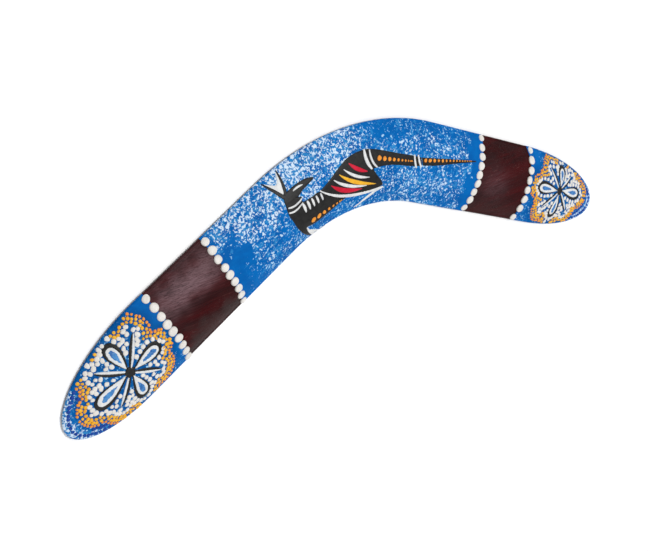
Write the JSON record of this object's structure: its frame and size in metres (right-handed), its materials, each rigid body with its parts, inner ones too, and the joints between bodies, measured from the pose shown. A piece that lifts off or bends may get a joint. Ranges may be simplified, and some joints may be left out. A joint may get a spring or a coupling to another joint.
{
  "type": "boomerang",
  "caption": "Bent wooden boomerang with a domed top and flat underside, painted with a kangaroo on a mottled blue elbow, plain bands, dot rows and flower dot patterns on both tips.",
  "frame": {"origin": "centre of the bounding box's bottom, on the plane of the flat underside", "axes": "+X from the left tip to the right tip, +Y towards the outside of the elbow, +Z out of the painted domed top"},
  "size_m": [0.3995, 0.1151, 0.0101],
  "materials": {
    "stained_wood": "dark maroon-brown stain with open straight grain under satin varnish",
    "blue_paint": "bright blue acrylic ground, sponged with white, satin",
    "deep_blue_paint": "deep blue acrylic dots, satin",
    "white_paint": "white acrylic, raised, satin",
    "black_paint": "black acrylic, satin",
    "orange_paint": "orange acrylic dots, satin",
    "yellow_paint": "yellow ochre acrylic, satin",
    "red_paint": "red acrylic, satin"
  },
  "bodies": {
    "root": {"wood_blank": "stained_wood", "blue_coat_elbow": "blue_paint", "blue_coat_left_tip": "blue_paint", "blue_coat_right_tip": "blue_paint", "dot_row_left_outer": "white_paint", "dot_row_left_inner": "white_paint", "dot_row_right_inner": "white_paint", "dot_row_right_outer": "white_paint", "kangaroo_ears": "black_paint", "kangaroo_ear_fill": "white_paint", "kangaroo_head": "black_paint", "kangaroo_eye": "white_paint", "kangaroo_body": "black_paint", "kangaroo_haunch": "black_paint", "kangaroo_neck_bands": "white_paint", "kangaroo_rib_stripes": "white_paint", "kangaroo_belly_dots": "orange_paint", "kangaroo_forepaw": "white_paint", "kangaroo_thigh_red": "red_paint", "kangaroo_thigh_white": "white_paint", "kangaroo_thigh_yellow": "yellow_paint", "kangaroo_leg_line": "white_paint", "kangaroo_foot": "white_paint", "kangaroo_hip_bands": "white_paint", "kangaroo_tail_root": "black_paint", "kangaroo_tail_bands": "white_paint", "kangaroo_tail_end": "black_paint", "kangaroo_tail_dots": "orange_paint", "left_flower_centre": "black_paint", "left_petal_outlines": "black_paint", "left_petals": "white_paint", "left_petal_fills": "blue_paint", "left_spikes": "white_paint", "left_spike_edges": "black_paint", "left_white_dots": "white_paint", "left_yellow_dots": "yellow_paint", "left_orange_dots": "orange_paint", "left_blue_dots": "deep_blue_paint", "right_flower_centre": "black_paint", "right_petal_outlines": "black_paint", "right_petals": "white_paint", "right_petal_fills": "blue_paint", "right_spikes": "white_paint", "right_spike_edges": "black_paint", "right_white_dots": "white_paint", "right_yellow_dots": "yellow_paint", "right_orange_dots": "orange_paint", "right_blue_dots": "deep_blue_paint"}
  },
  "joints": []
}
